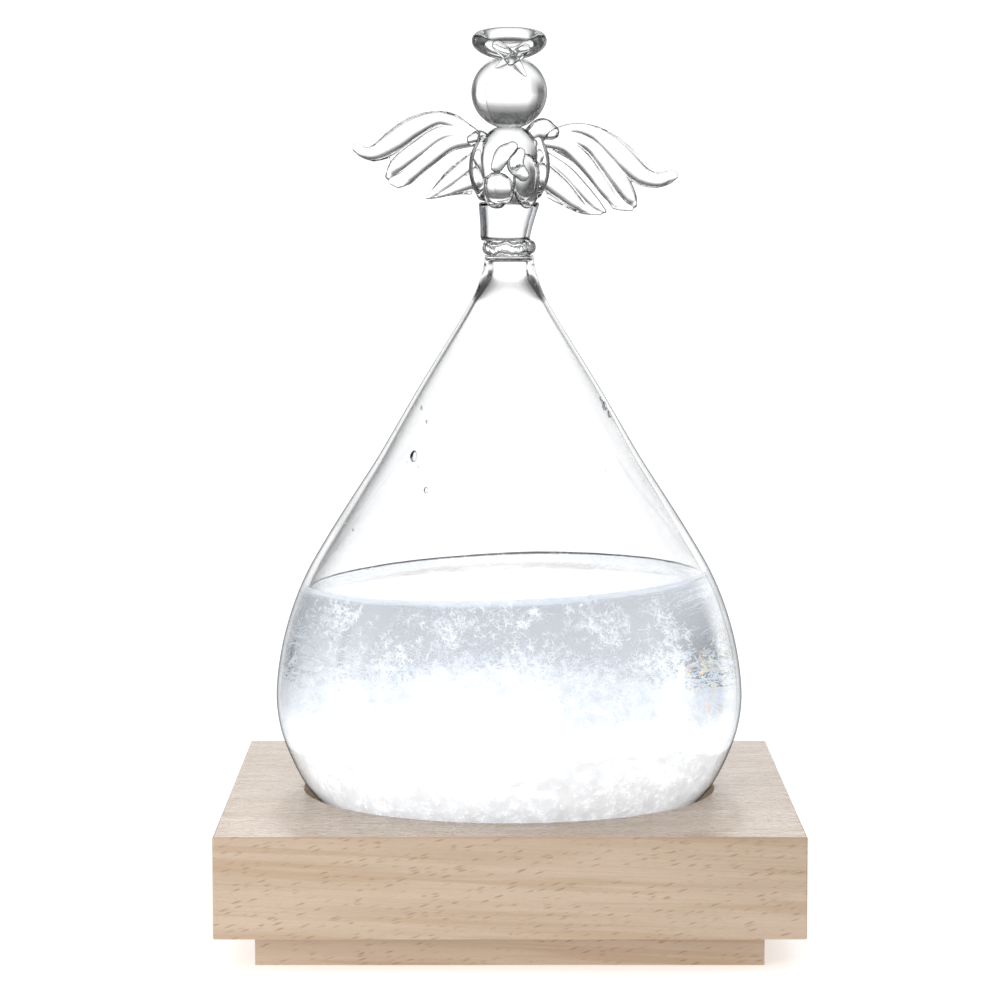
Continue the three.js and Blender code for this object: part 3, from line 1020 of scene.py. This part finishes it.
def make_wings():
    upper, lower = 4.5, 2.2
    left_upper = [
        feather(
            [(-7.5, 140.6, 0), (-11.5, 143.2, 0.2), (-15.6, 144.1, 0.3), (-20.5, 142.1, 0.2), (-25, 139, 0),
             (-28.6, 136.9, -0.2), (-31, 136.8, -0.3), (-32.9, 137.8, -0.3)],
            [1.4, 1.5, 1.6, 2.2, 2.3, 1.8, 1.25, 0.85], upper),
        feather(
            [(-8.5, 141, 0), (-14.6, 140.9, 0), (-20, 137.4, -0.2), (-24, 134.2, -0.3), (-26, 131.8, -0.3)],
            [1.5, 1.7, 1.9, 1.7, 0.7], upper),
        feather(
            [(-7.5, 139.9, 0), (-12.8, 138.8, -0.1), (-17.5, 135.5, -0.3), (-21.3, 132, -0.4),
             (-23, 130, -0.4)],
            [1.7, 1.8, 1.8, 1.4, 0.6], upper),
    ]
    left_lower = [
        feather([(-7.4, 135.6, 0), (-11.2, 132.3, 0), (-14.5, 129.6, 0), (-17.2, 127.5, 0)],
                [1.6, 1.7, 1.3, 0.4], lower),
        feather([(-6.8, 131.4, 0), (-10.8, 129.6, 0), (-15, 127.9, 0)], [2.2, 1.5, 0.5], lower),
    ]
    right_upper = [
        feather(
            [(8.5, 140.2, 0), (13.6, 142.1, 0.2), (18.3, 141.1, 0.3), (22, 138.3, 0.2), (25.3, 134.9, 0),
             (28.5, 131.9, -0.2), (31.9, 130.9, -0.3), (34, 131.6, -0.3), (35.6, 131.9, -0.3)],
            [1.5, 1.1, 1.6, 2.2, 2.4, 2.1, 1.6, 1.2, 0.8], upper),
        feather(
            [(10.5, 140.9, 0), (17, 138.7, 0), (20.6, 135.2, -0.1), (23.6, 131.3, -0.3), (26, 127.4, -0.3),
             (27, 125.6, -0.3)],
            [1.2, 1.4, 1.8, 2, 1.5, 0.6], upper),
        feather(
            [(8, 139.3, 0), (12.2, 138.4, 0), (15.5, 135.6, -0.1), (18.5, 132, -0.3), (21.2, 128.3, -0.4),
             (23, 125.8, -0.4)],
            [1.6, 1.8, 1.8, 1.6, 1.4, 0.6], upper),
    ]
    right_lower = [
        feather([(7.8, 136, 0), (12.2, 132.8, 0), (15.6, 129.2, 0), (18.6, 126, 0), (20.6, 124.3, 0)],
                [1.2, 1.4, 1.4, 1.1, 0.4], lower),
        feather([(7.4, 132, 0), (11.2, 129, 0), (14.3, 126.2, 0), (17.2, 124.3, 0)],
                [2.6, 2.3, 1.6, 0.4], lower),
    ]
    wings = {
        "left_upper_wing": left_upper,
        "left_lower_wing": left_lower,
        "right_upper_wing": right_upper,
        "right_lower_wing": right_lower,
    }
    for node, feathers in wings.items():
        wing = melted("pressed_" + node, [pane(node)] + feathers, 0.2 * MM, 3)
        finish_worked(wing, node)
    roots = {"left_wing_root": (-7.4, 140.2, 1.5), "right_wing_root": (8.3, 141.8, 2.5)}
    for node, (x, z, radius) in roots.items():
        inner = in_figure(x * 0.55, z - 1.5, 1.5)
        spine = [inner, in_figure(x * 0.85, z, 3.6), in_figure(x * 1.1, z - 0.6, 4.6)]
        bead = limb_mesh(spine, [radius * 0.8 * MM, radius * MM, radius * 0.7 * MM], 0.8)
        root = melted("weld_" + node, [bead], 0.22 * MM, 4)
        finish_worked(root, node)


def make_arms():
    """Each arm is a rod that ends in a wide cuff, with the hands coming together between them."""
    sleeves = {
        "left_arm": (
            [(-5.7, 139.6, -1.2), (-7.0, 135.8, -3.4), (-6.9, 131.6, -4.6), (-5.6, 128.0, -5.4)],
            [1.1, 1.4, 1.5, 1.3],
            ((-2.5, 129.0, -4.6), 3.4, (1.05, 0.72, 1.15)),
        ),
        "right_arm": (
            [(6.2, 139.2, -1.2), (7.1, 135.6, -3.4), (7.0, 131.6, -4.6), (5.8, 128.4, -5.4)],
            [1.2, 1.5, 1.4, 1.2],
            ((3.7, 130.9, -5.0), 3.0, (1.0, 0.75, 1.95)),
        ),
    }
    for node, (points, radii, (lobe, size, stretch)) in sleeves.items():
        spine = [in_figure(x, z, y) for x, z, y in points]
        rod = limb_mesh(spine, [r * MM for r in radii], depth_axis=ARM_DEPTH_AXIS)
        cuff = ball_mesh(in_figure(*lobe), size * MM, stretch)
        sleeve = melted("sleeve_" + node, [rod, cuff], 0.22 * MM, 5)
        finish_worked(sleeve, node)
    hands = {
        "left_hand": [(-2.6, 134.0, -6.4), (-1.2, 136.6, -7.2), (0.7, 138.2, -7.4)],
        "right_hand": [(2.9, 132.2, -7.9), (1.3, 134.4, -8.2), (2.3, 136.9, -7.8)],
    }
    for node, points in hands.items():
        spine = [in_figure(x, z, y) for x, z, y in points]
        finger = limb_mesh(spine, [1.4 * MM, 1.9 * MM, 1.2 * MM], depth_axis=ARM_DEPTH_AXIS)
        hand = melted("praying_" + node, [finger])
        finish_worked(hand, node)


def make_collar():
    """A ring of lumps melted around a short solid core."""
    parts = []
    random = np.random.default_rng(3)
    reach = (collar_high.x - collar_low.x) / 2
    middle = (collar_low.z + collar_high.z) / 2
    for k in range(COLLAR_LUMPS):
        angle = 2 * math.pi * k / COLLAR_LUMPS
        centre = around_axis(reach - 1.3 * MM, angle, middle + random.uniform(-0.35, 0.35) * MM)
        parts.append(ball_mesh(centre, random.uniform(1.05, 1.4) * MM, (1, 1, 1.05), 10, 14))
    bottom, top = collar_low.z - WELD, collar_high.z + WELD
    core = lathe("core", [(0, bottom), (reach - 1.4 * MM, bottom), (reach - 1.4 * MM, top), (0, top)], 60)
    verts = [v.co.copy() for v in core.data.vertices]
    parts.append((verts, [tuple(p.vertices) for p in core.data.polygons]))
    bpy.data.objects.remove(core)
    collar = melted("weld_collar", parts, 0.22 * MM, 3)
    finish_worked(collar, "neck_collar")


def make_gown():
    """A flared tube that leans a little to the left at its foot."""
    low_radius, high_radius = 5.3 * MM, 6.5 * MM
    wall = 0.95 * MM
    flare = [
        (low_radius, gown_low.z + 0.3 * MM),
        (low_radius + 0.35 * MM, gown_low.z + 3 * MM),
        (high_radius, gown_high.z - 0.3 * MM),
    ]
    outside = catmull(flare, 14)
    profile = [(low_radius - 0.3 * MM, gown_low.z - WELD)] + [tuple(p) for p in outside]
    profile += [(high_radius - 0.35 * MM, gown_high.z)]
    profile += [(r - wall, z) for r, z in outside[::-1]]
    profile += [profile[0]]
    gown = lathe("flared_gown", profile, 96)
    for vertex in gown.data.vertices:
        vertex.co.x -= GOWN_LEAN * (gown_high.z - vertex.co.z) / (gown_high.z - gown_low.z)
    finish_worked(gown, "gown")


def make_torso():
    # radius and height over the torso's foot, in millimetres
    dome = [(0.0, -0.9), (2.8, -0.6), (4.9, 0.7), (6.1, 5.5), (6.3, 10.5), (4.6, 14.4), (2.2, 15.8)]
    outline = [(r * MM, torso_low.z + z * MM) for r, z in dome] + [(0.0, torso_high.z)]
    torso = lathe("chest", [(max(r, 0), z) for r, z in catmull(outline, 48)], 96)
    finish_worked(torso, "torso")


def make_head():
    head = joined("plain_head", [ball_mesh(HEAD_CENTRE, HEAD_RADIUS, (1.015, 1.015, 0.975), 48, 96)])
    finish_piece(head, "glass", "clear_glass", head_glass, "head")


def make_halo():
    """A rod bent round, tipped down and drooping at the front, and its two ends, crossed on the head."""
    centre = (halo_low + halo_high) / 2
    rod = 1.85 * MM
    radius = (halo_high.x - halo_low.x) / 2 - rod
    tilt = math.radians(13)
    droop = 1.0 * MM
    spine, thick = [], []
    for angle in np.linspace(-math.pi / 2, 1.5 * math.pi, 61):
        x, y = radius * math.cos(angle), radius * math.sin(angle)
        front = max(0.0, -y / radius)
        spine.append((x, y * math.cos(tilt), centre.z + y * math.sin(tilt) - droop * front**2))
        thick.append(rod * (0.9 + 0.12 * front))
    upright = (0, -math.sin(tilt), math.cos(tilt))
    ring = melted("bent_halo", [limb_mesh(spine, thick, steps=120, depth_axis=upright)])
    finish_worked(ring, "halo_ring")
    ends = {
        "halo_end_left": [(-2.6, 159.6, -6.4), (-0.4, 157.6, -7.8), (1.6, 155.4, -8.2), (3.4, 153.2, -7.6)],
        "halo_end_right": [(3.6, 158.8, -6.6), (1.8, 157.6, -8.6), (-0.8, 155.8, -9.0), (-2.8, 154.9, -8.0)],
    }
    for node, points in ends.items():
        spine = [in_figure(x, z, y) for x, z, y in points]
        widths = [1.1 * MM, 1.35 * MM, 1.1 * MM, 0.4 * MM]
        end = melted("ribbon_" + node, [limb_mesh(spine, widths, 0.6)], 0.18 * MM, 3)
        finish_worked(end, node)


# ---- stage ----

FLOOR_RADIUS = 200 * MM
FLOOR_SIDES = 120
# What the glass shows of the studio, by degrees clockwise, seen from above, from +Y and from -Y: white ahead
# and at the sides, dark flags between that draw the glass's outlines, and one bright strip.
SURROUND = [
    (-90, 1.15),
    (-84, 1.15),
    (-74, 0.1),
    (-38, 0.12),
    (-27, 0.6),
    (-20, 1.15),
    (25, 1.15),
    (27, 0.6),
    (29, 1.5),
    (40, 1.5),
    (48, 0.9),
    (52, 0.15),
    (74, 0.12),
    (84, 1.15),
]
# and by the direction's Z, from the horizon to straight up
SKY = [(0.0, 1.15), (0.06, 1.5), (0.12, 1.2), (0.28, 0.4), (0.42, 0.12), (0.72, 0.12), (0.85, 1.6)]
BELOW_HORIZON = (1.1, 1.1, 1.1)
BACKDROP = (1.2, 1.2, 1.2)
# the even light that falls on everything, by the direction's Z, and its change towards +X
SOFT_LIGHT = [(0.0, 0.6), (0.35, 0.7), (1.0, 0.85)]
LEFT_TO_RIGHT = -0.14
LAMPS_AIM = Vector((0, 0, 40 * MM))


def grey_stops(stops):
    return [(at, (value, value, value)) for at, value in stops]


def make_floor():
    """A pale round floor. Glass doesn't show it, by refraction or in its gloss."""
    rim = [around_axis(FLOOR_RADIUS, 2 * math.pi * k / FLOOR_SIDES, 0) for k in range(FLOOR_SIDES)]
    floor = new_object("floor", rim, [range(len(rim))], smooth=False)
    material, tree = new_material("pale_floor")
    inputs = {
        "Base Color": (0.93, 0.93, 0.93, 1),
        "Roughness": 0.8,
        "Emission Color": (1, 1, 1, 1),
        "Emission Strength": 0.45,
    }
    through = add(tree, "ShaderNodeBsdfTransparent").outputs[0]
    show(tree, blend(tree, either_ray(tree, "Transmission", "Glossy"), principled(tree, inputs), through))
    floor.data.materials.append(material)
    floor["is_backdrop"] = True


def make_studio():
    """A white backdrop to the camera, SURROUND and SKY to the glass, and SOFT_LIGHT to everything else."""
    world = bpy.data.worlds.new("studio")
    bpy.context.scene.world = world
    world.use_nodes = True
    tree = world.node_tree
    tree.nodes.clear()
    direction = add(tree, "ShaderNodeTexCoord").outputs["Generated"]
    axes = add(tree, "ShaderNodeSeparateXYZ", {0: direction}).outputs
    above = maths(tree, "MAXIMUM", axes["Z"], 0.0)
    sky = ramp(tree, above, grey_stops(SKY))
    half_turns = maths(tree, "DIVIDE", maths(tree, "ARCTAN2", axes["X"], axes["Y"]), math.pi)
    aside = maths(tree, "SUBTRACT", half_turns, maths(tree, "ROUND", half_turns))
    surround = grey_stops([(degrees / 180 + 0.5, value) for degrees, value in SURROUND])
    around = ramp(tree, maths(tree, "ADD", aside, 0.5), surround)
    upright = maths(tree, "SUBTRACT", 1.0, remapped(tree, axes["Z"], 0.35, 0.75))
    seen = mixed(tree, upright, sky, mixed(tree, 1.0, sky, around, "MULTIPLY"))
    below = remapped(tree, axes["Z"], -0.42, -0.02, 1.0, 0.0)
    seen = mixed(tree, below, seen, BELOW_HORIZON)
    soft = ramp(tree, above, grey_stops(SOFT_LIGHT))
    from_left = maths(tree, "MULTIPLY_ADD", axes["X"], LEFT_TO_RIGHT, 1.0)
    soft = mixed(tree, 1.0, soft, from_left, "MULTIPLY")
    path = add(tree, "ShaderNodeLightPath").outputs
    seen = mixed(tree, path["Is Diffuse Ray"], seen, soft)
    seen = mixed(tree, path["Is Camera Ray"], seen, BACKDROP)
    light = add(tree, "ShaderNodeBackground", {"Color": seen, "Strength": 1.0})
    add(tree, "ShaderNodeOutputWorld", {"Surface": light.outputs[0]})


def make_lamp(name, place, size, power, in_gloss):
    """A soft window, in metres and watts. Nothing shows it by refraction, and gloss only if in_gloss."""
    data = bpy.data.lights.new(name, "AREA")
    data.shape = "RECTANGLE"
    data.size, data.size_y = size
    data.energy = power
    lamp = bpy.data.objects.new(name, data)
    lamp.location = place
    lamp.rotation_euler = (LAMPS_AIM - lamp.location).to_track_quat("-Z", "Y").to_euler()
    lamp.visible_camera = False
    lamp.visible_transmission = False
    lamp.visible_glossy = in_gloss
    bpy.context.scene.collection.objects.link(lamp)


make_base()
make_screws()
make_seat()
make_bulb()
make_liquid()
make_bed()
make_crystals()
make_droplets()
make_wings()
make_arms()
make_collar()
make_gown()
make_torso()
make_head()
make_halo()
make_floor()
make_studio()
make_lamp("back_window", (0.0, 1.05, 0.62), (0.6, 0.4), 2.5, True)
make_lamp("left_window", (-0.42, -0.42, 0.16), (0.25, 0.25), 1.1, False)
bpy.context.scene.view_settings.view_transform = "Standard"

visual_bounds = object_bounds()
sizes = {"cad": cad_bounds, "visual": visual_bounds}
{name: [list(corner) for corner in box] for name, box in sizes.items()}
